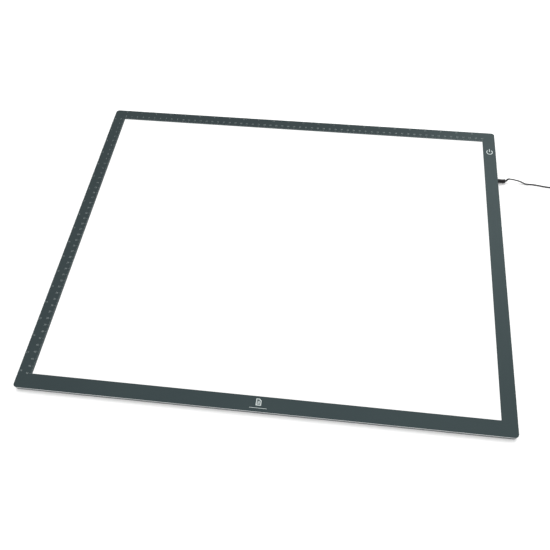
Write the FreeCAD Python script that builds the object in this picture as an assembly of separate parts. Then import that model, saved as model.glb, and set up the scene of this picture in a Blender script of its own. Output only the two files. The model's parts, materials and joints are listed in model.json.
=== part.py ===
"""LED light pad with a power cord and a mains adapter.

Millimetres. +X runs along the long side, +Y towards the rear border, +Z up.
The origin lies on the table, under the centre of the pad.
"""

import math
import os

import FreeCAD, Part
from FreeCAD import Vector

# ---------------------------------------------------------------- pad, seen from above
pad_length = 640.0
pad_width = 500.0
corner_radius = 5.0
border = 20.0

# ---------------------------------------------------------------- pad, layer by layer from the table
foot_proud = 1.0
foot_pocket = 0.5
cover_thick = 1.2
reflector_thick = 0.2
guide_thick = 3.8
diffuser_thick = 0.6
tape_thick = 0.2
panel_thick = 2.0
film_thick = 0.2

cover_z = foot_proud
floor_z = cover_z + cover_thick
guide_z = floor_z + reflector_thick
diffuser_z = guide_z + guide_thick
panel_z = diffuser_z + diffuser_thick
film_z = panel_z + panel_thick
tape_z = panel_z - tape_thick

# ---------------------------------------------------------------- frame
wall = 2.5
lower_chamfer = 1.5
cover_gap = 0.15
flange_width = 6.0
flange_thick = 1.0
tape_inset = 0.6

# ---------------------------------------------------------------- screws and feet
screw_radius = 1.0
screw_clearance = 0.03
screw_depth = 3.0
screw_tip_gap = 0.2
screw_head_radius = 1.9
screw_head_thick = 0.7
head_clearance = 0.2
boss_inset = 6.0
boss_radius = 2.8
drive_radius = 0.6
drive_depth = 0.35
long_side_screws = 5
short_side_screws = 3
corner_screw_inset = 20.0
screw_before_plug = 33.0
foot_radius = 6.0
foot_clearance = 0.2
foot_edge_radius = 0.4
foot_inset = 26.0

# ---------------------------------------------------------------- lighting
guide_cover = 3.0
led_gap = 0.4
led_count = 48
led_length = 4.0
led_depth = 0.8
led_height = 1.4
strip_thick = 0.8
strip_margin = 0.1
bar_thick = 1.2
bar_base_thick = 0.8
bar_boss_gap = 0.4
diffuser_lap = 0.6
side_tape_thick = 0.2
stop_length = 16.0
stop_end_gap = 1.0
wire_lane = 3.8
wire_stop_gap = 2.0

# ---------------------------------------------------------------- control board, jack and touch key
plug_from_rear = 96.0
plug_y = pad_width / 2 - plug_from_rear
leaf_end_gap = 1.5
jack_width = 6.4
jack_inner_gap = 2.4
jack_back_wall = 2.0
jack_recess = 0.3
jack_fit = 0.08
jack_pin_radius = 0.65
jack_pin_fit = 0.06
jack_pin_setback = 3.6
leaf_thick = 0.3
leaf_width = 1.6
opening_gap = 0.1
board_thick = 1.0
board_side_gap = 0.8
board_before = 12.0
board_after = 61.0
board_wall_gap = 0.5
key_ahead = 54.4
key_pillar_share = 0.27
# Parts on the board: distance ahead of the plug, size across, size along, height.
driver_coil_size = (12.0, 6.0, 6.0, 2.2)
driver_chip_size = (22.0, 4.0, 5.0, 1.2)
capacitor_size = (30.0, 2.5, 3.2, 1.6)
capacitor_pitch = 5.0
capacitor_shift = 3.0
touch_chip_size = (44.0, 4.0, 4.0, 0.9)
socket_size = 4.0
socket_height = 2.4
wire_radius = 0.45
wire_pitch = 1.2

# ---------------------------------------------------------------- plug
plug_radius = 1.75
plug_wall = 0.45
plug_tip_gap = 0.9
plug_seat = 3.0
insulator_wall = 0.3
insulator_setback = 0.3
contact_setback = 0.6
grip_gap = 0.4
grip_length = 11.6
grip_radius = 3.2
grip_waist = 2.9
grip_flange = 2.4
grip_taper = 1.2
grip_chamfer = 0.3
relief_spigot = 2.0
relief_spigot_radius = 1.3
relief_end_gap = 0.2
relief_fit = 0.06
relief_shoulder_gap = 0.3
relief_root_radius = 1.5
sleeve_start_share = 0.18
sleeve_end_share = 0.42

# ---------------------------------------------------------------- cord
cord_diameter = 2.0
arc_share = 0.45
relief_end_wall = 0.25
coil_turn_diameters = 12.0
coil_columns = 4
coil_rows = 5
coil_turns = 18.3
tie_thick = 0.5
tie_width = 8.0
tie_fit = 0.05
tie_angle = 200.0

# The cord's route: from the plug's sleeve to the coil, and from the coil to the adapter.
# x and y are measured from the jack's mouth, and z is the height of the cord's underside.
jack_mouth = Vector(pad_length / 2, plug_y, 0.0)
cord_rise = Vector(0.0, 0.0, cord_diameter / 2)
run_route = [
    Vector(18.6, 2.9, 6.1),
    Vector(22.6, 2.4, 6.3),
    Vector(27.0, 2.0, 5.7),
    Vector(31.4, 2.2, 4.4),
    Vector(35.6, 2.3, 2.9),
    Vector(39.4, 1.3, 1.7),
    Vector(43.6, -0.1, 0.7),
    Vector(48.6, -0.1, 0.1),
    Vector(54.9, 0.2, 0.1),
    Vector(62.2, -0.7, 0.05),
    Vector(70.0, -2.1, 0.1),
    Vector(78.4, -3.1, 0.05),
    Vector(86.6, -3.5, 0.1),
    Vector(94.4, -4.4, 0.2),
    Vector(101.6, -7.0, 0.5),
    Vector(108.2, -11.8, 0.7),
]
tail_route = [
    Vector(116.6, -27.5, 0.6),
    Vector(117.3, -33.6, 0.5),
    Vector(117.1, -39.9, 0.7),
    Vector(116.4, -46.4, 1.4),
    Vector(115.7, -52.8, 2.3),
    Vector(115.6, -59.2, 2.8),
    Vector(115.6, -65.0, 2.8),
]
run_points = [jack_mouth + cord_rise + point for point in run_route]
tail_points = [jack_mouth + cord_rise + point for point in tail_route]
coil_centre = jack_mouth + Vector(104.0, -25.0, 0.0)

# ---------------------------------------------------------------- adapter
case_width = 38.0
case_length = 62.0
case_height = 27.0
case_wall = 2.0
case_radius = 4.0
outlet_length = 16.0
outlet_radius = 3.2
outlet_seat = 2.0
pin_radius = 2.0
pin_length = 19.0
pin_spacing = 19.0
pin_root = 6.0
pin_anchor_radius = 2.8
inner_gap = 0.5
transformer_size = 18.0
transformer_height = 15.0
transformer_shift = 5.0
transformer_ahead = 14.0
reservoir_radius = 5.0
reservoir_height = 16.0
reservoir_shift = 10.5
reservoir_ahead = 12.0

X_AXIS = Vector(1, 0, 0)
Y_AXIS = Vector(0, 1, 0)
Z_AXIS = Vector(0, 0, 1)
nodes = {}


# ---------------------------------------------------------------- shapes
def box(x_low, x_high, y_low, y_high, z_low, z_high):
    corner = Vector(x_low, y_low, z_low)
    return Part.makeBox(x_high - x_low, y_high - y_low, z_high - z_low, corner)


def block(centre, size_x, size_y, size_z):
    """A box that stands on centre."""
    corner = centre - Vector(size_x / 2, size_y / 2, 0)
    return Part.makeBox(size_x, size_y, size_z, corner)


def inset_box(inset, z_low, z_high):
    """A sharp-cornered plate, this far in from the pad's outside."""
    x, y = pad_length / 2 - inset, pad_width / 2 - inset
    return box(-x, x, -y, y, z_low, z_high)


def inset_plate(inset, z_low, z_high):
    """A round-cornered plate, this far in from the pad's outside."""
    plate = inset_box(inset, z_low, z_high)
    upright = [edge for edge in plate.Edges if abs(edge.tangentAt(edge.FirstParameter).z) > 0.9]
    return plate.makeFillet(max(corner_radius - inset, 1.0), upright)


def rod(centre, radius, length, axis):
    return Part.makeCylinder(radius, length, centre, axis)


def pipe(centre, outer_radius, inner_radius, length, axis):
    return rod(centre, outer_radius, length, axis).cut(rod(centre, inner_radius, length, axis))


def turned(profile, centre, axis):
    """A solid of revolution from (distance along the axis, radius) points."""
    side = Z_AXIS if abs(axis.z) < 0.5 else X_AXIS
    outline = [(profile[0][0], 0.0)] + profile + [(profile[-1][0], 0.0)]
    points = [centre + axis * along + side * radius for along, radius in outline]
    face = Part.Face(Part.makePolygon(points + points[:1]))
    return face.revolve(centre, axis, 360)


def bent_path(points, share):
    """Straight runs joined by arcs, each as large as its two runs allow. Returns the wire and the radii."""
    edges, radii, start = [], [], points[0]
    for before, corner, after in zip(points, points[1:], points[2:]):
        way_in, way_out = corner - before, after - corner
        reach = share * min(way_in.Length, way_out.Length)
        way_in.normalize()
        way_out.normalize()
        half_turn = way_in.getAngle(way_out) / 2
        arc_start = corner - way_in * reach
        arc_end = corner + way_out * reach
        radius = reach / math.tan(half_turn)
        inward = way_out - way_in
        inward.normalize()
        middle = corner + inward * (radius / math.cos(half_turn) - radius)
        edges.append(Part.LineSegment(start, arc_start).toShape())
        edges.append(Part.Arc(arc_start, middle, arc_end).toShape())
        radii.append(radius)
        start = arc_end
    edges.append(Part.LineSegment(start, points[-1]).toShape())
    return Part.Wire(edges), radii


def tube(points, radius, share):
    path, radii = bent_path(points, share)
    ring = Part.Wire(Part.Circle(points[0], points[1] - points[0], radius).toShape())
    return path.makePipeShell([ring], True, False), path.Length, radii


def checked_tube(name, points, radius):
    """A cord's tube, with its radii printed and its volume compared with section times length."""
    solid, length, radii = tube(points, radius, arc_share)
    ratio = solid.Volume / (math.pi * radius**2 * length)
    print(f"{name}: length {length:.1f}, radii", [round(r, 1) for r in radii], f"volume ratio {ratio:.4f}")
    return solid, length


def tapered_sleeve(start, start_way, end, end_way, start_radius, end_radius, stations=7):
    """A round sleeve that narrows along a smooth bend from start to end."""
    span = (end - start).Length
    ways = [start_way, end_way]
    for way in ways:
        way.normalize()
    curve = Part.BezierCurve()
    start_pole = start + ways[0] * (span * sleeve_start_share)
    end_pole = end - ways[1] * (span * sleeve_end_share)
    curve.setPoles([start, start_pole, end_pole, end])
    rings = []
    for i in range(stations):
        t = i / (stations - 1)
        radius = start_radius + (end_radius - start_radius) * t
        circle = Part.Circle(curve.value(t), curve.tangent(t)[0], radius)
        rings.append(Part.Wire(circle.toShape()))
    return Part.makeLoft(rings, True)


# ---------------------------------------------------------------- casing of the pad
def spread(span, count):
    """Evenly spaced places, from one end of the span to the other."""
    return [span * (i / (count - 1) - 0.5) for i in range(count)]


def screw_places():
    x_row, y_row = pad_length / 2 - boss_inset, pad_width / 2 - boss_inset
    along_x = spread(pad_length - 2 * corner_screw_inset, long_side_screws)
    along_y = spread(2 * (plug_y - screw_before_plug), short_side_screws)
    long_side = [(x, side * y_row) for side in (-1, 1) for x in along_x]
    short_side = [(side * x_row, y) for side in (-1, 1) for y in along_y]
    return long_side + short_side


def foot_places():
    x, y = pad_length / 2 - foot_inset, pad_width / 2 - foot_inset
    columns = {"left": -x, "middle": 0.0, "right": x}
    return {
        f"foot_{row}_{column}": (x_foot, y_foot)
        for row, y_foot in (("front", -y), ("rear", y))
        for column, x_foot in columns.items()
    }


def jack_space(gap, z_low, z_high):
    """The room that the jack takes at the right side, with a gap round it."""
    half = jack_width / 2 + gap
    inner = pad_length / 2 - jack_length - gap
    return box(inner, pad_length / 2 + 1, plug_y - half, plug_y + half, z_low, z_high)


def make_frame():
    outside = inset_plate(0, cover_z, tape_z)
    lower_rim = [edge for edge in outside.Edges if edge.BoundBox.ZMax < cover_z + 0.01]
    frame = outside.makeChamfer(lower_chamfer, lower_rim)
    frame = frame.cut(inset_plate(wall, cover_z, tape_z - flange_thick))
    frame = frame.cut(inset_box(flange_width, cover_z, tape_z))
    bosses = [rod(Vector(x, y, floor_z), boss_radius, tape_z - floor_z, Z_AXIS) for x, y in screw_places()]
    frame = frame.multiFuse(bosses)
    pilot = screw_radius + screw_clearance
    holes = [rod(Vector(x, y, floor_z), pilot, screw_depth, Z_AXIS) for x, y in screw_places()]
    opening = jack_space(opening_gap, floor_z, tape_z)
    return frame.cut(Part.makeCompound(holes + [opening])).removeSplitter()


def make_cover():
    cover = inset_plate(wall + cover_gap, cover_z, floor_z)
    cuts = []
    for x, y in screw_places():
        foot_of_hole = Vector(x, y, cover_z)
        cuts.append(rod(foot_of_hole, screw_radius + screw_clearance, cover_thick, Z_AXIS))
        cuts.append(rod(foot_of_hole, screw_head_radius + head_clearance, screw_head_thick, Z_AXIS))
    for x, y in foot_places().values():
        cuts.append(rod(Vector(x, y, cover_z), foot_radius + foot_clearance, foot_pocket, Z_AXIS))
    return cover.cut(Part.makeCompound(cuts))


def make_screw(x, y):
    head = Vector(x, y, cover_z)
    shank_length = cover_thick + screw_depth - screw_tip_gap
    screw = rod(head, screw_head_radius, screw_head_thick, Z_AXIS)
    screw = screw.fuse(rod(head, screw_radius, shank_length, Z_AXIS))
    slots = [block(head, 2 * drive_radius, drive_radius / 2, drive_depth)]
    slots.append(block(head, drive_radius / 2, 2 * drive_radius, drive_depth))
    return screw.cut(Part.makeCompound(slots)).removeSplitter()


def make_foot(x, y):
    foot = rod(Vector(x, y, 0), foot_radius, foot_proud + foot_pocket, Z_AXIS)
    lower_rim = [edge for edge in foot.Edges if edge.BoundBox.ZMax < 0.01]
    return foot.makeFillet(foot_edge_radius, lower_rim)


def make_casing():
    nodes["mid_frame"] = make_frame()
    nodes["back_cover"] = make_cover()
    nodes["back_cover_screws"] = Part.makeCompound([make_screw(x, y) for x, y in screw_places()])
    for name, (x, y) in foot_places().items():
        nodes[name] = make_foot(x, y)
    tape = inset_plate(tape_inset, tape_z, panel_z)
    nodes["panel_tape"] = tape.cut(inset_box(flange_width, tape_z, panel_z))
    window = inset_box(border, film_z, film_z + film_thick)
    nodes["top_panel"] = inset_plate(0, panel_z, film_z).fuse(window).removeSplitter()
    nodes["border_film"] = inset_plate(0, film_z, film_z + film_thick).cut(window)


# ---------------------------------------------------------------- lighting
guide_inset = border - guide_cover
strip_inset = guide_inset - led_gap - led_depth - strip_thick
bar_inset = strip_inset - bar_thick
diffuser_inset = strip_inset - diffuser_lap
boss_inner = boss_inset + boss_radius
stop_inset = boss_inner + wire_lane
wire_inset = stop_inset - wire_stop_gap
lit_half = pad_length / 2 - border


def on_side(side, inset_outer, inset_inner, x_low, x_high, z_low, z_high):
    """A bar along a long border; side is -1 at the front and 1 at the rear."""
    y_outer, y_inner = pad_width / 2 - inset_outer, pad_width / 2 - inset_inner
    y_low, y_high = sorted((side * y_outer, side * y_inner))
    return box(x_low, x_high, y_low, y_high, z_low, z_high)


def make_light_strip(name, side):
    upright = on_side(side, bar_inset, strip_inset, -lit_half, lit_half, floor_z, diffuser_z)
    base_top = floor_z + bar_base_thick
    base = on_side(side, boss_inner + bar_boss_gap, bar_inset, -lit_half, lit_half, floor_z, base_top)
    nodes[f"led_bar_{name}"] = upright.fuse(base).removeSplitter()
    strip_low, strip_high = floor_z + strip_margin, diffuser_z - strip_margin
    strip_inner = strip_inset + strip_thick
    nodes[f"led_strip_{name}"] = on_side(
        side, strip_inset, strip_inner, -lit_half, lit_half, strip_low, strip_high
    )
    pitch = 2 * lit_half / led_count
    led_z = guide_z + (guide_thick - led_height) / 2
    leds = []
    for i in range(led_count):
        x = -lit_half + pitch * (i + 0.5)
        x_low, x_high = x - led_length / 2, x + led_length / 2
        led_front = strip_inner + led_depth
        leds.append(on_side(side, strip_inner, led_front, x_low, x_high, led_z, led_z + led_height))
    nodes[f"leds_{name}"] = Part.makeCompound(leds)


def make_lighting():
    nodes["reflector_sheet"] = inset_box(guide_inset, floor_z, guide_z)
    nodes["light_guide"] = inset_box(guide_inset, guide_z, diffuser_z)
    nodes["diffuser_sheet"] = inset_box(diffuser_inset, diffuser_z, panel_z)
    make_light_strip("front", -1)
    make_light_strip("rear", 1)
    guide_x, guide_y = pad_length / 2 - guide_inset, pad_width / 2 - guide_inset
    for name, side in (("left", -1), ("right", 1)):
        x_low, x_high = sorted((side * guide_x, side * (guide_x + side_tape_thick)))
        nodes[f"side_reflector_{name}"] = box(x_low, x_high, -guide_y, guide_y, guide_z, diffuser_z)
        stop_width = guide_inset - side_tape_thick - stop_inset
        stop_x = side * (pad_length / 2 - stop_inset - stop_width / 2)
        for row, end in (("front", -1), ("rear", 1)):
            stop_y = end * (guide_y - stop_end_gap - stop_length / 2)
            foot = Vector(stop_x, stop_y, floor_z)
            nodes[f"guide_stop_{row}_{name}"] = block(foot, stop_width, stop_length, diffuser_z - floor_z)


# ---------------------------------------------------------------- control board and jack
jack_length = diffuser_inset - jack_inner_gap
jack_pin_length = jack_length - jack_pin_setback
plug_insert = jack_length - jack_back_wall - plug_tip_gap + grip_gap
key_lane = diffuser_inset - flange_width
key_inset = flange_width + key_lane / 3
key_pillar_radius = key_pillar_share * key_lane
jack_face = pad_length / 2 - jack_recess
jack_z = (floor_z + tape_z) / 2
grip_face = pad_length / 2 + grip_gap
plug_axis = Vector(0, plug_y, jack_z)
board_top = floor_z + board_thick
board_outer = pad_length / 2 - wall - board_wall_gap
board_inner = pad_length / 2 - guide_inset + side_tape_thick + board_side_gap
board_low, board_high = plug_y - board_before, plug_y + board_after


def on_axis(x):
    """A point of the plug's axis."""
    return Vector(x, plug_axis.y, plug_axis.z)


def make_jack():
    inner_end = pad_length / 2 - jack_length
    half = jack_width / 2
    housing = box(inner_end, jack_face, plug_y - half, plug_y + half, floor_z, tape_z)
    bore_start = inner_end + jack_back_wall
    bore_radius = plug_radius + jack_fit
    bore = rod(on_axis(bore_start), bore_radius, jack_face - bore_start, X_AXIS)
    pin_seat = rod(on_axis(inner_end), jack_pin_radius, jack_back_wall, X_AXIS)
    leaf_high = plug_y + bore_radius + leaf_thick
    leaf_low_z, leaf_high_z = jack_z - leaf_width / 2, jack_z + leaf_width / 2
    leaf_slot = box(bore_start, jack_face - leaf_end_gap, plug_y, leaf_high, leaf_low_z, leaf_high_z)
    nodes["jack_housing"] = housing.cut(Part.makeCompound([bore, pin_seat, leaf_slot]))
    nodes["jack_centre_pin"] = rod(on_axis(inner_end), jack_pin_radius, jack_pin_length, X_AXIS)
    leaf_low = plug_y + bore_radius
    leaf_end = jack_face - leaf_end_gap
    nodes["jack_sleeve_spring"] = box(bore_start, leaf_end, leaf_low, leaf_high, leaf_low_z, leaf_high_z)


def make_board():
    board = box(board_inner, board_outer, board_low, board_high, floor_z, board_top)
    nodes["control_board"] = board.cut(jack_space(opening_gap, floor_z, board_top))
    middle = (board_inner + board_outer) / 2

    def part(ahead, size_x, size_y, height, shift=0.0):
        return block(Vector(middle + shift, plug_y + ahead, board_top), size_x, size_y, height)

    nodes["driver_coil"] = part(*driver_coil_size)
    nodes["driver_chip"] = part(*driver_chip_size)
    ahead, size_x, size_y, height = capacitor_size
    capacitors = []
    for row_ahead in (ahead, ahead + capacitor_pitch):
        for shift in (-capacitor_shift, capacitor_shift):
            capacitors.append(part(row_ahead, size_x, size_y, height, shift))
    nodes["board_capacitors"] = Part.makeCompound(capacitors)
    nodes["touch_chip"] = part(*touch_chip_size)


def make_touch_pillar():
    """The conductive foam pillar that carries the touch key's field up to the panel."""
    foot = Vector(pad_length / 2 - key_inset, plug_y + key_ahead, board_top)
    nodes["touch_pillar"] = rod(foot, key_pillar_radius, panel_z - board_top, Z_AXIS)


def make_wires(name, side):
    """The wire pair from the board's socket to the end of a light strip."""
    board_end = board_low if side < 0 else board_high
    socket_y = board_end - side * socket_size / 2
    x_wire = pad_length / 2 - wire_inset
    socket_foot = Vector(x_wire, socket_y, board_top)
    nodes[f"wire_socket_{name}"] = block(socket_foot, socket_size, socket_size, socket_height)
    strip_y = side * (pad_width / 2 - strip_inset - strip_thick / 2)
    wires = []
    for step in (-0.5, 0.5):
        z = board_top + socket_height / 2 + step * wire_pitch
        points = [Vector(x_wire, board_end, z), Vector(x_wire, strip_y, z), Vector(lit_half, strip_y, z)]
        wires.append(tube(points, wire_radius, arc_share)[0])
    nodes[f"led_wires_{name}"] = Part.makeCompound(wires)


def make_electronics():
    make_jack()
    make_board()
    make_touch_pillar()
    make_wires("front", -1)
    make_wires("rear", 1)


# ---------------------------------------------------------------- plug
def make_plug():
    tip = grip_face - plug_insert
    seat_end = grip_face + plug_seat
    sleeve_bore = plug_radius - plug_wall
    contact_radius = sleeve_bore - insulator_wall
    length = seat_end - tip
    nodes["plug_sleeve"] = pipe(on_axis(tip), plug_radius, sleeve_bore, length, X_AXIS)
    start, reach = on_axis(tip + insulator_setback), length - insulator_setback
    nodes["plug_insulator"] = pipe(start, sleeve_bore, contact_radius, reach, X_AXIS)
    contact_bore = jack_pin_radius + jack_pin_fit
    start, reach = on_axis(tip + contact_setback), length - contact_setback
    nodes["plug_inner_contact"] = pipe(start, contact_radius, contact_bore, reach, X_AXIS)
    collar_start = grip_length - grip_flange
    rim_radius = grip_radius - grip_chamfer
    profile = [
        (0.0, rim_radius),
        (grip_chamfer, grip_radius),
        (grip_flange, grip_radius),
        (grip_flange + grip_taper, grip_waist),
        (collar_start - grip_taper, grip_waist),
        (collar_start, grip_radius),
        (grip_length - grip_chamfer, grip_radius),
        (grip_length, rim_radius),
    ]
    grip = turned(profile, on_axis(grip_face), X_AXIS)
    front_seat = rod(on_axis(grip_face), plug_radius, plug_seat, X_AXIS)
    rear_hole_start = grip_face + grip_length - relief_spigot
    rear_hole = rod(on_axis(rear_hole_start), relief_spigot_radius + relief_fit, relief_spigot, X_AXIS)
    nodes["plug_grip"] = grip.cut(Part.makeCompound([front_seat, rear_hole]))


def make_relief():
    """The flexible sleeve behind the grip; its spigot turns in the grip."""
    shoulder = grip_face + grip_length + relief_shoulder_gap
    spigot_length = relief_spigot - relief_end_gap + relief_shoulder_gap
    spigot = rod(on_axis(shoulder - spigot_length), relief_spigot_radius, spigot_length, X_AXIS)
    cord_start = run_points[0]
    way = run_points[1] - run_points[0]
    end_radius = cord_diameter / 2 + relief_end_wall
    flare = tapered_sleeve(
        on_axis(shoulder), Vector(X_AXIS), cord_start, way, relief_root_radius, end_radius
    )
    nodes["plug_strain_relief"] = spigot.fuse(flare)


# ---------------------------------------------------------------- cord
coil_radius = coil_turn_diameters * cord_diameter / 2
bundle_width = coil_columns * cord_diameter
bundle_height = coil_rows * cord_diameter


def make_coil():
    """The outer shape of the coil's turns, as one ring that stands on the tie."""
    inner, outer = coil_radius - bundle_width / 2, coil_radius + bundle_width / 2
    low, high = tie_thick, tie_thick + bundle_height
    corners = [Vector(inner, 0, low), Vector(outer, 0, low), Vector(outer, 0, high), Vector(inner, 0, high)]
    section = Part.makePolygon([coil_centre + corner for corner in corners + corners[:1]])
    coil = Part.Face(section).revolve(coil_centre, Z_AXIS, 360)
    return coil.makeFillet(cord_diameter / 2, coil.Edges)


def make_tie():
    """A strap round the coil's turns."""
    half = bundle_width / 2 + tie_fit
    side = tie_width / 2
    inner_low, inner_high = tie_thick - tie_fit, tie_thick + bundle_height + tie_fit
    outer_high = inner_high + tie_thick
    outer = box(coil_radius - half - tie_thick, coil_radius + half + tie_thick, -side, side, 0, outer_high)
    inner = box(coil_radius - half, coil_radius + half, -side, side, inner_low, inner_high)
    strap = outer.cut(inner)
    strap.rotate(Vector(0, 0, 0), Z_AXIS, tie_angle)
    strap.translate(coil_centre)
    return strap


def make_cord():
    coil = make_coil()
    nodes["coil_tie"] = make_tie().cut(coil)
    run, run_length = checked_tube("cord_run", run_points, cord_diameter / 2)
    tail, tail_length = checked_tube("cord_tail", tail_points, cord_diameter / 2)
    nodes["cord_coil"] = coil
    nodes["cord_run"] = run.cut(coil)
    nodes["cord_tail"] = tail.cut(coil)
    wound = coil_turns * 2 * math.pi * coil_radius
    print(f"cord length {run_length + wound + tail_length:.0f}, coil {coil_turns} turns")


# ---------------------------------------------------------------- adapter
def make_adapter():
    """A mains adapter lying on its side: the cord goes in at its rear end, the pins point to the front."""
    entry = tail_points[-1]
    case_rear = entry.y - outlet_length
    case_front = case_rear - case_length
    x = entry.x
    half = case_width / 2
    seam = case_height / 2
    outside = box(x - half, x + half, case_front, case_rear, 0, case_height)
    outside = outside.makeFillet(case_radius, outside.Edges)
    inside = box(
        x - half + case_wall, x + half - case_wall,
        case_front + case_wall, case_rear - case_wall,
        case_wall, case_height - case_wall,
    )
    outlet_hole = rod(Vector(x, case_rear - outlet_seat, entry.z), outlet_radius, outlet_seat + 1, Y_AXIS)
    pins = []
    for side in (-1, 1):
        root = Vector(x + side * pin_spacing / 2, case_front + pin_root, seam)
        pin = rod(root, pin_radius, pin_length + pin_root, -Y_AXIS)
        pins.append(pin.fuse(rod(root, pin_anchor_radius, pin_root, -Y_AXIS)).removeSplitter())
    shell = outside.cut(Part.makeCompound([inside, outlet_hole] + pins))
    lower_half = box(x - half - 1, x + half + 1, case_front - 1, case_rear + 1, -1, seam)
    nodes["adapter_case_lower"] = shell.common(lower_half)
    nodes["adapter_case_upper"] = shell.cut(lower_half)
    nodes["mains_pin_left"], nodes["mains_pin_right"] = pins
    flare = [(0.0, cord_diameter / 2 + relief_end_wall), (outlet_length, outlet_radius)]
    flare.append((outlet_length + outlet_seat, outlet_radius))
    nodes["adapter_strain_relief"] = turned(flare, entry, -Y_AXIS)
    board_y = case_front + pin_root + inner_gap
    board_low_z = case_wall
    board_end = case_rear - case_wall - outlet_seat
    nodes["adapter_board"] = box(
        x - half + case_wall + inner_gap, x + half - case_wall - inner_gap,
        board_y, board_end, board_low_z, board_low_z + board_thick,
    )
    on_board = board_low_z + board_thick
    transformer_foot = Vector(x - transformer_shift, board_y + transformer_ahead, on_board)
    transformer = block(transformer_foot, transformer_size, transformer_size, transformer_height)
    nodes["adapter_transformer"] = transformer
    reservoir_foot = Vector(x + reservoir_shift, board_y + reservoir_ahead, on_board)
    nodes["adapter_capacitor"] = rod(reservoir_foot, reservoir_radius, reservoir_height, Z_AXIS)


make_casing()
make_lighting()
make_electronics()
make_plug()
make_relief()
make_cord()
make_adapter()

os.makedirs("parts", exist_ok=True)
for name, shape in nodes.items():
    shape.exportStep(f"parts/{name}.step")
print(len(nodes), "nodes")
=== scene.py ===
"""Looks of an LED light pad with its cord and adapter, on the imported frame. Metres throughout."""

import json
import math

import bmesh
import bpy
from mathutils import Euler, Matrix, Vector


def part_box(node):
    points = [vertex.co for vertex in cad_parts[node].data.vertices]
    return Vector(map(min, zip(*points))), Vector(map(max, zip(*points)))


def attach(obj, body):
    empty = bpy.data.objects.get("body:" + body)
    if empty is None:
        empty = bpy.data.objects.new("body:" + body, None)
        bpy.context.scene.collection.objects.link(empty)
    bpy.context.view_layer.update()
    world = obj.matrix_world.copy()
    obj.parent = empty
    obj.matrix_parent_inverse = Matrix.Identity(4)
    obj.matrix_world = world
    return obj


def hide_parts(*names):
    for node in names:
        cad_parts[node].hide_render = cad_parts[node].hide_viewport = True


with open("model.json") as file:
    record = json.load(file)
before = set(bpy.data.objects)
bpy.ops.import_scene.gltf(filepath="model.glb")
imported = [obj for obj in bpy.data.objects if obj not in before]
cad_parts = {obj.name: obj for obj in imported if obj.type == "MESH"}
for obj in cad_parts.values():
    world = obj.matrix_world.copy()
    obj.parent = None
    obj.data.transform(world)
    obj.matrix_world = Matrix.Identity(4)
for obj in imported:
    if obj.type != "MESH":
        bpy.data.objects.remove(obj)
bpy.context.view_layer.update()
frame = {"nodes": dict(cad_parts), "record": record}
nodes = frame["nodes"]
scene = bpy.context.scene
MM = 0.001


def link(obj):
    """Puts the object into the scene."""
    scene.collection.objects.link(obj)
    return obj


# ---------------------------------------------------------------- camera
camera_data = bpy.data.cameras.new("camera")
camera_data.sensor_width = 36.0
camera_data.lens = 37.23
camera_data.shift_x = -0.0452
camera_data.shift_y = -0.0012
camera = link(bpy.data.objects.new("camera", camera_data))
camera.location = (0.0925, -0.4525, 0.7066)
camera.rotation_euler = Euler([math.radians(angle) for angle in (30.403, 1.362, 6.289)])
scene.camera = camera
scene.view_settings.view_transform = "Standard"

# ---------------------------------------------------------------- cord
_, pad_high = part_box("border_film")
sleeve_low, sleeve_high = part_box("plug_sleeve")
jack_mouth = Vector((pad_high.x, (sleeve_low.y + sleeve_high.y) / 2, 0.0))
cord_radius = 0.0010
cord_rise = Vector((0.0, 0.0, cord_radius))

# From the plug's sleeve to the coil, measured from the jack's mouth; z is the cord's underside.
run_route = [
    (0.0186, 0.0029, 0.0061),
    (0.0226, 0.0024, 0.0063),
    (0.0270, 0.0020, 0.0057),
    (0.0314, 0.0022, 0.0044),
    (0.0356, 0.0023, 0.0029),
    (0.0394, 0.0013, 0.0017),
    (0.0436, -0.0001, 0.0007),
    (0.0486, -0.0001, 0.0001),
    (0.0549, 0.0002, 0.0001),
    (0.0622, -0.0007, 0.00005),
    (0.0700, -0.0021, 0.0001),
    (0.0784, -0.0031, 0.00005),
    (0.0866, -0.0035, 0.0001),
    (0.0944, -0.0044, 0.0002),
    (0.1016, -0.0070, 0.0005),
    (0.1082, -0.0118, 0.0007),
]
# From the coil to the adapter.
tail_route = [
    (0.1173, -0.0336, 0.0005),
    (0.1171, -0.0399, 0.0007),
    (0.1164, -0.0464, 0.0014),
    (0.1157, -0.0528, 0.0023),
    (0.1156, -0.0592, 0.0028),
    (0.1156, -0.0650, 0.0028),
]
coil_centre = jack_mouth + Vector((0.104, -0.025, 0.0))
coil_first_radius = 0.009
coil_first_height = 0.0015
coil_pitch = 2 * cord_radius
coil_start_angle = 72.0
points_per_turn = 16
inner_turns = 14
last_share = 0.23  # of a turn, after the whole ones
move_share = 0.2  # of a turn, to reach the next slot
cross_share = 0.5  # the same where the cord climbs over a column


def coil_slots():
    """Each turn's column and row: back and forth through three columns, then down the outside."""
    inward, outward = (2, 1, 0), (0, 1, 2)
    block = [(column, row) for row in range(5) for column in (outward if row % 2 else inward)]
    return block[:inner_turns] + [(3, row) for row in (4, 3, 2, 1, 0)]


def ease(share):
    """From 0 to 1 with a smooth start and end."""
    return share * share * (3 - 2 * share)


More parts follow.
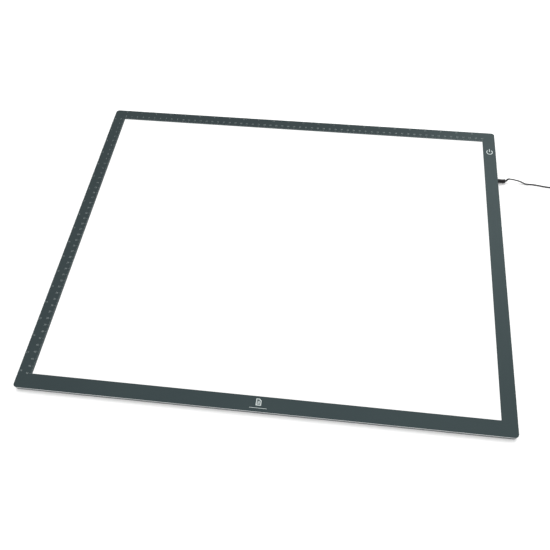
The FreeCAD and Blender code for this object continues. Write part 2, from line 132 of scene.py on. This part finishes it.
def coil_points():
    """The coil's turns, clockwise seen from above, each one moving to its slot soon after it begins."""
    slots = coil_slots()
    turn_count = len(slots) - 1 + last_share
    reach_out = 1 / math.cos(math.pi / points_per_turn)
    points = []
    for i in range(1, int(turn_count * points_per_turn) + 1):
        turn, share = divmod(i / points_per_turn, 1.0)
        slot = Vector(slots[int(turn)])
        before = Vector(slots[max(int(turn) - 1, 0)])
        crosses = abs(slot.x - before.x) > 1
        moved = min(share / (cross_share if crosses else move_share), 1.0)
        place = before.lerp(slot, ease(moved))
        hump = math.sin(math.pi * moved) if crosses else 0.0
        radius = (coil_first_radius + coil_pitch * place.x) * reach_out
        height = coil_first_height + coil_pitch * (place.y + hump)
        angle = math.radians(coil_start_angle - 360 * (turn + share))
        points.append(coil_centre + Vector((radius * math.cos(angle), radius * math.sin(angle), height)))
    return points


run_points = [jack_mouth + cord_rise + Vector(point) for point in run_route]
tail_points = [jack_mouth + cord_rise + Vector(point) for point in tail_route]
cord_points = run_points + coil_points() + tail_points
cord_curve = bpy.data.curves.new("power_cord", "CURVE")
cord_curve.dimensions = "3D"
cord_curve.resolution_u = 6
cord_curve.bevel_depth = 1.0  # the points' own radius sets the thickness
cord_curve.bevel_resolution = 4
cord_curve.use_fill_caps = True
cord_spline = cord_curve.splines.new("NURBS")
cord_spline.points.add(len(cord_points) - 1)
for control, point in zip(cord_spline.points, cord_points):
    control.co = (*point, 1.0)
    control.radius = cord_radius
cord_spline.order_u = 3
cord_spline.use_endpoint_u = True
power_cord = link(bpy.data.objects.new("power_cord", cord_curve))
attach(power_cord, "lead")
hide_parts("cord_run", "cord_coil", "cord_tail")


# ---------------------------------------------------------------- materials
fine_share = 0.35  # of the fine noise in the colour, beside the broad one
colour_span = (0.45, 0.9)  # of the two noises together, from dark to light
noise_span = (0.3, 0.7)  # of the fine noise, over the range of roughness
edge_reach = 0.6 * MM
edge_turn = (0.99, 0.75)  # cosine between the flat and the rounded normal, from no wear to full wear
edge_wear = 0.7


def finish(
    name, light, dark, roughness, grain, bump, blotch=12.0, stretch=(1.0, 1.0, 1.0),
    metallic=0.0, specular=0.5, tint=(1.0, 1.0, 1.0), edge=None, emission=None,
):
    """A surface whose colour, roughness and relief come from noise.

    light and dark are the colour's two ends, and roughness its range. grain and blotch are the cells
    per metre of the fine and the broad noise, and stretch scales both along each axis. bump is the
    relief's depth in metres. specular and tint set the gloss. edge is a worn colour that shows where
    the surface turns sharply, and emission is a colour and a strength.
    """
    made = bpy.data.materials.new(name)
    made.use_nodes = True
    tree = made.node_tree
    shader = tree.nodes["Principled BSDF"]

    def node(kind, **inputs):
        new = tree.nodes.new(kind)
        for key, value in inputs.items():
            new.inputs[key].default_value = value
        return new

    def wire(start, end):
        tree.links.new(start, end)

    place = node("ShaderNodeTexCoord")
    mapping = node("ShaderNodeMapping", Scale=stretch)
    wire(place.outputs["Object"], mapping.inputs["Vector"])
    broad = node("ShaderNodeTexNoise", Scale=blotch, Detail=3.0, Roughness=0.55)
    wire(mapping.outputs["Vector"], broad.inputs["Vector"])
    fine = node("ShaderNodeTexNoise", Scale=grain, Detail=4.0, Roughness=0.6)
    wire(mapping.outputs["Vector"], fine.inputs["Vector"])
    both = node("ShaderNodeMath")
    both.operation = "MULTIPLY_ADD"
    both.inputs[1].default_value = fine_share
    wire(fine.outputs["Fac"], both.inputs[0])
    wire(broad.outputs["Fac"], both.inputs[2])
    ramp = node("ShaderNodeValToRGB")
    ramp.color_ramp.elements[0].position = colour_span[0]
    ramp.color_ramp.elements[0].color = (*dark, 1.0)
    ramp.color_ramp.elements[1].position = colour_span[1]
    ramp.color_ramp.elements[1].color = (*light, 1.0)
    wire(both.outputs["Value"], ramp.inputs["Fac"])
    colour = ramp.outputs["Color"]
    if edge:
        rounded = node("ShaderNodeBevel", Radius=edge_reach)
        rounded.samples = 4
        flat = node("ShaderNodeNewGeometry")
        turn = node("ShaderNodeVectorMath")
        turn.operation = "DOT_PRODUCT"
        wire(rounded.outputs["Normal"], turn.inputs[0])
        wire(flat.outputs["Normal"], turn.inputs[1])
        worn = node("ShaderNodeMapRange")
        worn.inputs["From Min"].default_value = edge_turn[0]
        worn.inputs["From Max"].default_value = edge_turn[1]
        worn.inputs["To Max"].default_value = edge_wear
        wire(turn.outputs["Value"], worn.inputs["Value"])
        patchy = node("ShaderNodeMath")
        patchy.operation = "MULTIPLY"
        wire(worn.outputs["Result"], patchy.inputs[0])
        wire(broad.outputs["Fac"], patchy.inputs[1])
        mix = node("ShaderNodeMix")
        mix.data_type = "RGBA"
        wire(patchy.outputs["Value"], mix.inputs["Factor"])
        wire(colour, mix.inputs["A"])
        mix.inputs["B"].default_value = (*edge, 1.0)
        colour = mix.outputs["Result"]
    wire(colour, shader.inputs["Base Color"])
    rough = node("ShaderNodeMapRange")
    rough.inputs["From Min"].default_value = noise_span[0]
    rough.inputs["From Max"].default_value = noise_span[1]
    rough.inputs["To Min"].default_value = roughness[0]
    rough.inputs["To Max"].default_value = roughness[1]
    wire(fine.outputs["Fac"], rough.inputs["Value"])
    wire(rough.outputs["Result"], shader.inputs["Roughness"])
    relief = node("ShaderNodeBump", Strength=1.0, Distance=bump)
    wire(fine.outputs["Fac"], relief.inputs["Height"])
    wire(relief.outputs["Normal"], shader.inputs["Normal"])
    shader.inputs["Metallic"].default_value = metallic
    shader.inputs["Specular IOR Level"].default_value = specular
    shader.inputs["Specular Tint"].default_value = (*tint, 1.0)
    if emission:
        shader.inputs["Emission Color"].default_value = (*emission[0], 1.0)
        shader.inputs["Emission Strength"].default_value = emission[1]
    return made


slots = {
    "frame_plastic": finish(
        "frame_plastic", (0.070, 0.084, 0.088), (0.048, 0.059, 0.063), (0.42, 0.62), 2600, 0.00002,
        edge=(0.15, 0.16, 0.16),
    ),
    "cover_sheet": finish(
        "cover_sheet", (0.058, 0.065, 0.069), (0.046, 0.052, 0.055), (0.50, 0.72), 1500, 0.00006,
        edge=(0.14, 0.14, 0.14),
    ),
    "screw_steel": finish(
        "screw_steel", (0.62, 0.61, 0.58), (0.40, 0.39, 0.37), (0.22, 0.45), 3500, 0.00001, blotch=300,
        stretch=(1.0, 6.0, 1.0), metallic=1.0,
    ),
    "foot_rubber": finish(
        "foot_rubber", (0.028, 0.028, 0.029), (0.012, 0.012, 0.013), (0.75, 0.95), 2200, 0.00005, blotch=80,
    ),
    "black_tape": finish(
        "black_tape", (0.020, 0.020, 0.022), (0.010, 0.010, 0.011), (0.6, 0.8), 1800, 0.00002,
    ),
    "opal_panel": finish(
        "opal_panel", (0.72, 0.74, 0.74), (0.62, 0.64, 0.65), (0.30, 0.42), 900, 0.00001,
        edge=(0.85, 0.86, 0.86),
    ),
    "border_print": finish(
        "border_print", (0.0155, 0.0225, 0.025), (0.0115, 0.0175, 0.021), (0.40, 0.50), 1400, 0.000006,
        blotch=7, specular=0.40, tint=(0.76, 1.0, 0.99),
    ),
    "diffuser_film": finish(
        "diffuser_film", (0.88, 0.88, 0.87), (0.80, 0.80, 0.79), (0.5, 0.7), 1500, 0.00002,
    ),
    "guide_acrylic": finish(
        "guide_acrylic", (0.80, 0.85, 0.84), (0.72, 0.78, 0.78), (0.08, 0.16), 700, 0.00001,
    ),
    "reflector_film": finish(
        "reflector_film", (0.90, 0.90, 0.89), (0.82, 0.82, 0.81), (0.35, 0.55), 1200, 0.00002,
    ),
    "strip_aluminium": finish(
        "strip_aluminium", (0.78, 0.78, 0.77), (0.60, 0.60, 0.60), (0.25, 0.45), 900, 0.00001,
        stretch=(0.1, 4.0, 4.0), metallic=1.0,
    ),
    "strip_board": finish(
        "strip_board", (0.82, 0.82, 0.78), (0.72, 0.72, 0.68), (0.35, 0.5), 1500, 0.00001,
    ),
    "led_package": finish(
        "led_package", (0.85, 0.75, 0.30), (0.72, 0.60, 0.20), (0.25, 0.4), 3000, 0.00001,
    ),
    "stop_silicone": finish(
        "stop_silicone", (0.60, 0.60, 0.58), (0.48, 0.48, 0.47), (0.5, 0.7), 1500, 0.00002,
    ),
    "board_laminate": finish(
        "board_laminate", (0.030, 0.160, 0.070), (0.018, 0.110, 0.045), (0.30, 0.5), 1800, 0.00002,
    ),
    "chip_black": finish(
        "chip_black", (0.030, 0.030, 0.031), (0.018, 0.018, 0.019), (0.4, 0.6), 3000, 0.00001,
    ),
    "ferrite": finish(
        "ferrite", (0.080, 0.078, 0.075), (0.045, 0.044, 0.042), (0.6, 0.8), 2500, 0.00003,
    ),
    "capacitor_body": finish(
        "capacitor_body", (0.42, 0.30, 0.18), (0.32, 0.22, 0.13), (0.35, 0.55), 2000, 0.00001,
    ),
    "socket_plastic": finish(
        "socket_plastic", (0.80, 0.78, 0.70), (0.70, 0.68, 0.60), (0.4, 0.6), 2000, 0.00001,
    ),
    "wire_cover": finish(
        "wire_cover", (0.45, 0.03, 0.03), (0.32, 0.02, 0.02), (0.35, 0.5), 1500, 0.00001,
    ),
    "touch_foam": finish(
        "touch_foam", (0.12, 0.12, 0.12), (0.06, 0.06, 0.06), (0.8, 0.95), 2500, 0.00008,
    ),
    "jack_plastic": finish(
        "jack_plastic", (0.022, 0.022, 0.023), (0.012, 0.012, 0.013), (0.35, 0.5), 2500, 0.00001,
        edge=(0.07, 0.07, 0.07),
    ),
    "contact_brass": finish(
        "contact_brass", (0.80, 0.62, 0.30), (0.62, 0.46, 0.20), (0.18, 0.35), 2500, 0.00001, blotch=200,
        metallic=1.0,
    ),
    "plug_nickel": finish(
        "plug_nickel", (0.78, 0.77, 0.74), (0.62, 0.61, 0.58), (0.12, 0.30), 2500, 0.00001, blotch=200,
        stretch=(0.3, 3.0, 3.0), metallic=1.0,
    ),
    "plug_plastic": finish(
        "plug_plastic", (0.008, 0.008, 0.009), (0.004, 0.004, 0.005), (0.34, 0.50), 2600, 0.00001,
        blotch=150, specular=0.25, edge=(0.025, 0.025, 0.025),
    ),
    "cord_cover": finish(
        "cord_cover", (0.008, 0.008, 0.009), (0.004, 0.004, 0.005), (0.28, 0.44), 2400, 0.00001, blotch=150,
        specular=0.25,
    ),
    "tie_strap": finish(
        "tie_strap", (0.030, 0.030, 0.031), (0.014, 0.014, 0.015), (0.6, 0.85), 2200, 0.00008, blotch=300,
    ),
    "adapter_plastic": finish(
        "adapter_plastic", (0.024, 0.024, 0.025), (0.013, 0.013, 0.014), (0.38, 0.6), 1700, 0.00004,
        blotch=40, edge=(0.08, 0.08, 0.08),
    ),
    "transformer_core": finish(
        "transformer_core", (0.45, 0.33, 0.08), (0.30, 0.20, 0.05), (0.4, 0.6), 1500, 0.00003,
    ),
    "capacitor_can": finish(
        "capacitor_can", (0.10, 0.13, 0.28), (0.06, 0.08, 0.20), (0.25, 0.4), 1500, 0.00001,
    ),
}
lit_surface = finish(
    "lit_surface", (0.34, 0.34, 0.34), (0.31, 0.31, 0.31), (0.38, 0.50), 1800, 0.000008, specular=0.2,
    emission=((1.0, 1.0, 1.0), 0.64),
)
mark_ink = finish(
    "mark_ink", (0.60, 0.66, 0.65), (0.50, 0.56, 0.55), (0.45, 0.60), 2600, 0.000008, blotch=60,
)
scale_ink = finish(
    "scale_ink", (0.20, 0.23, 0.23), (0.15, 0.175, 0.175), (0.45, 0.60), 2600, 0.000008, blotch=60,
)
label_film = finish(
    "label_film", (0.40, 0.41, 0.42), (0.30, 0.31, 0.32), (0.30, 0.45), 2200, 0.000008, blotch=60,
    stretch=(1.0, 0.1, 1.0), metallic=0.6,
)


def paint(obj, material):
    """This material alone."""
    obj.data.materials.clear()
    obj.data.materials.append(material)


for subpart in frame["record"]["subparts"]:
    paint(nodes[subpart["node"]], slots[subpart["material_slot"]])
paint(power_cord, slots["cord_cover"])


def round_edges(obj, width, segments, angle):
    """Rounds the edges that turn by more than this many degrees."""
    bevel = obj.modifiers.new("edges", "BEVEL")
    bevel.width = width
    bevel.segments = segments
    bevel.limit_method = "ANGLE"
    bevel.angle_limit = math.radians(angle)


def soften(name, width):
    """Small rounded edges on a CAD node, by modifiers alone."""
    weld = nodes[name].modifiers.new("weld", "WELD")
    weld.merge_threshold = 0.002 * MM
    round_edges(nodes[name], width, segments=2, angle=40)


# ---------------------------------------------------------------- panel and lit window
def new_piece(name, mesh, body, material):
    """A visible piece that moves with a body, in the material it is given."""
    piece = link(bpy.data.objects.new(name, mesh))
    paint(piece, material)
    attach(piece, body)
    return piece


def mesh_from(name, build):
    """A mesh from what build adds to an empty one, with its faces turned outwards."""
    made = bmesh.new()
    build(made)
    bmesh.ops.recalc_face_normals(made, faces=made.faces)
    mesh = bpy.data.meshes.new(name)
    made.to_mesh(mesh)
    made.free()
    return mesh


def prism(made, outline, low, high):
    """A closed solid with this convex outline, from low to high."""
    bottom = [made.verts.new((x, y, low)) for x, y in outline]
    top = [made.verts.new((x, y, high)) for x, y in outline]
    made.faces.new(list(reversed(bottom)))
    made.faces.new(top)
    count = len(outline)
    for i in range(count):
        j = (i + 1) % count
        made.faces.new((bottom[i], bottom[j], top[j], top[i]))


def rounded_outline(half_x, half_y, radius, centre=(0.0, 0.0), steps=10):
    """A rectangle's outline with round corners, anticlockwise."""
    points = []
    for quarter, (side_x, side_y) in enumerate(((1, 1), (-1, 1), (-1, -1), (1, -1))):
        for i in range(steps + 1):
            angle = math.radians(90 * (quarter + i / steps))
            points.append(
                (
                    centre[0] + side_x * (half_x - radius) + radius * math.cos(angle),
                    centre[1] + side_y * (half_y - radius) + radius * math.sin(angle),
                )
            )
    return points


corner_radius = 5 * MM
window_corner = 0.2 * MM
border = 20 * MM
panel_low, panel_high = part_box("top_panel")
film_low, film_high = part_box("border_film")
window_half = Vector((panel_high.x - border, panel_high.y - border))

panel_mesh = mesh_from(
    "panel_body",
    lambda made: prism(
        made, rounded_outline(panel_high.x, panel_high.y, corner_radius), panel_low.z, film_low.z
    ),
)
panel_body = new_piece("panel_body", panel_mesh, "pad", slots["opal_panel"])
round_edges(panel_body, 0.25 * MM, segments=3, angle=50)

window_mesh = mesh_from(
    "lit_window",
    lambda made: prism(
        made, rounded_outline(*window_half, window_corner, steps=2), film_low.z, film_high.z
    ),
)
lit_window = new_piece("lit_window", window_mesh, "pad", lit_surface)
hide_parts("top_panel")

soften("mid_frame", 0.25 * MM)
soften("back_cover", 0.15 * MM)
soften("adapter_case_lower", 0.3 * MM)
soften("adapter_case_upper", 0.3 * MM)

# ---------------------------------------------------------------- blank label on the adapter
case_low, case_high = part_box("adapter_case_upper")
label_half = (12.5 * MM, 21.0 * MM)
label_corner = 1.5 * MM
label_sunk, label_proud = 0.05 * MM, 0.08 * MM
label_centre = ((case_low.x + case_high.x) / 2, (case_low.y + case_high.y) / 2)
label_mesh = mesh_from(
    "adapter_label",
    lambda made: prism(
        made,
        rounded_outline(*label_half, label_corner, centre=label_centre, steps=4),
        case_high.z - label_sunk,
        case_high.z + label_proud,
    ),
)
new_piece("adapter_label", label_mesh, "lead", label_film)

# ---------------------------------------------------------------- printed scales and marks
print_top = film_high.z + 0.03 * MM
print_base = film_high.z - 0.02 * MM


def bar(made, x_low, x_high, y_low, y_high):
    """A printed rectangle."""
    prism(made, [(x_low, y_low), (x_high, y_low), (x_high, y_high), (x_low, y_high)], print_base, print_top)


zero = Vector((-window_half.x, window_half.y))
centimetre = 10 * MM
inch = 25.4 * MM
# Each scale: the pitch of its smallest marks, how many make a unit and half a unit, the lengths of its
# smallest, half and whole marks, and whether it lies along the window or along the pad's outside.
scales = [
    {
        "pitch": centimetre / 10,
        "unit": 10,
        "half": 5,
        "lengths": (1.7 * MM, 2.6 * MM, 3.8 * MM),
        "inner": True,
    },
    {
        "pitch": inch / 16,
        "unit": 16,
        "half": 8,
        "lengths": (0.8 * MM, 1.1 * MM, 1.5 * MM),
        "inner": False,
    },
]
line_width = 0.22 * MM
edge_margin = 0.35 * MM
whole_slack = 0.001  # of a mark, so that the last one counts


def scale_marks(made):
    """Two scales behind the window and two beside it, all counted from the window's rear left corner."""
    half = line_width / 2
    for scale in scales:
        for along, total in (("x", 2 * window_half.x), ("y", 2 * window_half.y)):
            for i in range(int(total / scale["pitch"] + whole_slack) + 1):
                kind = 2 if i % scale["unit"] == 0 else 1 if i % scale["half"] == 0 else 0
                length = scale["lengths"][kind]
                start = edge_margin if scale["inner"] else border - edge_margin - length
                offset = i * scale["pitch"]
                if along == "x":
                    middle = zero.x + offset
                    low = zero.y + start
                    bar(made, middle - half, middle + half, low, low + length)
                else:
                    middle = zero.y - offset
                    high = zero.x - start
                    bar(made, high - length, high, middle - half, middle + half)


marks_mesh = mesh_from("scale_marks", scale_marks)
new_piece("scale_marks", marks_mesh, "pad", scale_ink)

glyphs = {}
glyph_half_depth = 0.01  # of the font's size


def number_mesh(text):
    """The number as a thin flat solid of font size 1, centred over the origin."""
    if text not in glyphs:
        curve = bpy.data.curves.new("number", "FONT")
        curve.body = text
        curve.size = 1.0
        curve.extrude = glyph_half_depth
        curve.resolution_u = 2
        curve.align_x = "CENTER"
        source = link(bpy.data.objects.new("number", curve))
        bpy.context.view_layer.update()
        mesh = bpy.data.meshes.new_from_object(source.evaluated_get(bpy.context.evaluated_depsgraph_get()))
        bpy.data.objects.remove(source)
        glyphs[text] = mesh
    return glyphs[text]


digit_height = 0.70  # of the font's size
# Each row of numbers: its unit, the height of its digits, and how far their middle is from the window.
numbers = [(centimetre, 2.6 * MM, 7.3 * MM), (inch, 2.4 * MM, 17.0 * MM)]


def scale_numbers(made):
    """A number at every centimetre and inch, from the same corner as the marks."""
    for unit, height, reach in numbers:
        size = height / digit_height
        for along, total in (("x", 2 * window_half.x), ("y", 2 * window_half.y)):
            for i in range(int(total / unit + whole_slack) + 1):
                if along == "x":
                    centre = Vector((zero.x + i * unit, zero.y + reach, 0))
                else:
                    centre = Vector((zero.x - reach, zero.y - i * unit, 0))
                foot = Vector((0, -height / 2, print_top - glyph_half_depth * size))
                to_place = Matrix.Translation(centre + foot) @ Matrix.Scale(size, 4)
                start = len(made.verts)
                made.from_mesh(number_mesh(str(i)))
                made.verts.ensure_lookup_table()
                for vert in made.verts[start:]:
                    vert.co = to_place @ vert.co


numbers_mesh = mesh_from("scale_numbers", scale_numbers)
new_piece("scale_numbers", numbers_mesh, "pad", scale_ink)


def arc_band(made, centre, radius, width, start, end, steps=40):
    """A curved bar between two angles in degrees."""
    inner, outer = radius - width / 2, radius + width / 2
    outline = []
    for r, order in ((outer, range(steps + 1)), (inner, range(steps, -1, -1))):
        for i in order:
            angle = math.radians(start + (end - start) * i / steps)
            outline.append((centre[0] + r * math.cos(angle), centre[1] + r * math.sin(angle)))
    count = len(outline)
    half = count // 2
    low = [made.verts.new((x, y, print_base)) for x, y in outline]
    high = [made.verts.new((x, y, print_top)) for x, y in outline]
    for i in range(half - 1):
        j = count - 1 - i
        made.faces.new((high[i], high[i + 1], high[j - 1], high[j]))
        made.faces.new((low[j], low[j - 1], low[i + 1], low[i]))
    for i in range(count):
        j = (i + 1) % count
        made.faces.new((low[i], low[j], high[j], high[i]))


touch_centre = (310.4 * MM, 208.6 * MM)
touch_radius = 4.4 * MM
touch_stroke = 1.1 * MM
touch_opening = 76  # degrees of the ring
stroke_half = 3.0 * MM
stroke_shift = 3.6 * MM
stroke_corner = 0.3 * MM


def touch_mark(made):
    """A ring open at its rear, with a stroke in the opening."""
    start = 90 + touch_opening / 2
    arc_band(made, touch_centre, touch_radius, touch_stroke, start, start + 360 - touch_opening)
    x, y = touch_centre
    centre = (x, y + stroke_shift)
    outline = rounded_outline(touch_stroke / 2, stroke_half, stroke_corner, centre=centre, steps=3)
    prism(made, outline, print_base, print_top)


new_piece("touch_mark", mesh_from("touch_mark", touch_mark), "pad", mark_ink)

sheet_centre = (0.0, -237.6 * MM)
sheet_half = (3.4 * MM, 4.4 * MM)
sheet_stroke = 1.0 * MM
fold = 2.4 * MM
written_lines = 3
written_first = 1.0 * MM
written_pitch = 1.5 * MM
written_half = 0.35 * MM
written_inset = 1.7 * MM
underline_half = 11 * MM
underline_drop = 7.7 * MM
underline_thick = 0.4 * MM


def sheet_mark(made):
    """A plain sheet of paper with a folded corner, over a thin line."""
    x, y = sheet_centre
    left, right = x - sheet_half[0], x + sheet_half[0]
    front, rear = y - sheet_half[1], y + sheet_half[1]
    bar(made, left, left + sheet_stroke, front, rear)
    bar(made, left + sheet_stroke, right, front, front + sheet_stroke)
    bar(made, right - sheet_stroke, right, front + sheet_stroke, rear - fold)
    bar(made, left + sheet_stroke, right - fold, rear - sheet_stroke, rear)
    folded = [(right - fold, rear), (right - fold, rear - fold), (right, rear - fold)]
    prism(made, folded, print_base, print_top)
    for i in range(written_lines):
        middle = rear - fold - written_first - written_pitch * i
        bar(made, left + written_inset, right - written_inset, middle - written_half, middle + written_half)
    low = y - underline_drop - underline_thick / 2
    bar(made, x - underline_half, x + underline_half, low, low + underline_thick)


new_piece("sheet_mark", mesh_from("sheet_mark", sheet_mark), "pad", mark_ink)

# ---------------------------------------------------------------- floor and light
floor_mesh = mesh_from(
    "floor",
    lambda made: bmesh.ops.create_grid(made, x_segments=8, y_segments=8, size=3.0),
)
floor = link(bpy.data.objects.new("floor", floor_mesh))
floor_paper = finish(
    "floor_paper", (0.86, 0.86, 0.86), (0.84, 0.84, 0.84), (0.75, 0.85), 400, 0.00002, specular=0.2,
    emission=((1.0, 1.0, 1.0), 0.12),
)
paint(floor, floor_paper)


def aim(light, place, target):
    """Puts the light at place, turned towards target."""
    obj = link(bpy.data.objects.new(light.name, light))
    obj.location = place
    way = Vector(target) - Vector(place)
    obj.rotation_euler = way.to_track_quat("-Z", "Y").to_euler()
    return obj


# The sky is brighter overhead than at its sides.
world = bpy.data.worlds.new("studio")
world.use_nodes = True
sky = world.node_tree.nodes["Background"]
sky.inputs["Color"].default_value = (1.0, 1.0, 1.0, 1.0)
direction = world.node_tree.nodes.new("ShaderNodeTexCoord")
split = world.node_tree.nodes.new("ShaderNodeSeparateXYZ")
brightness = world.node_tree.nodes.new("ShaderNodeMapRange")
for limit, value in (("From Min", 0.65), ("From Max", 0.95), ("To Min", 0.55), ("To Max", 1.95)):
    brightness.inputs[limit].default_value = value
world.node_tree.links.new(direction.outputs["Generated"], split.inputs["Vector"])
world.node_tree.links.new(split.outputs["Z"], brightness.inputs["Value"])
world.node_tree.links.new(brightness.outputs["Result"], sky.inputs["Strength"])
scene.world = world
overhead = bpy.data.lights.new("overhead", "SUN")
overhead.energy = 0.7
overhead.angle = math.radians(26)
overhead_light = aim(overhead, (-0.1, 0.9, 2.0), (0.0, 0.0, 0.0))
overhead_light.visible_glossy = False
softbox = bpy.data.lights.new("softbox", "AREA")
softbox.shape = "DISK"
softbox.size = 1.2
softbox.energy = 14.0
aim(softbox, (1.1, 1.7, 1.9), (0.25, 0.15, 0.0))
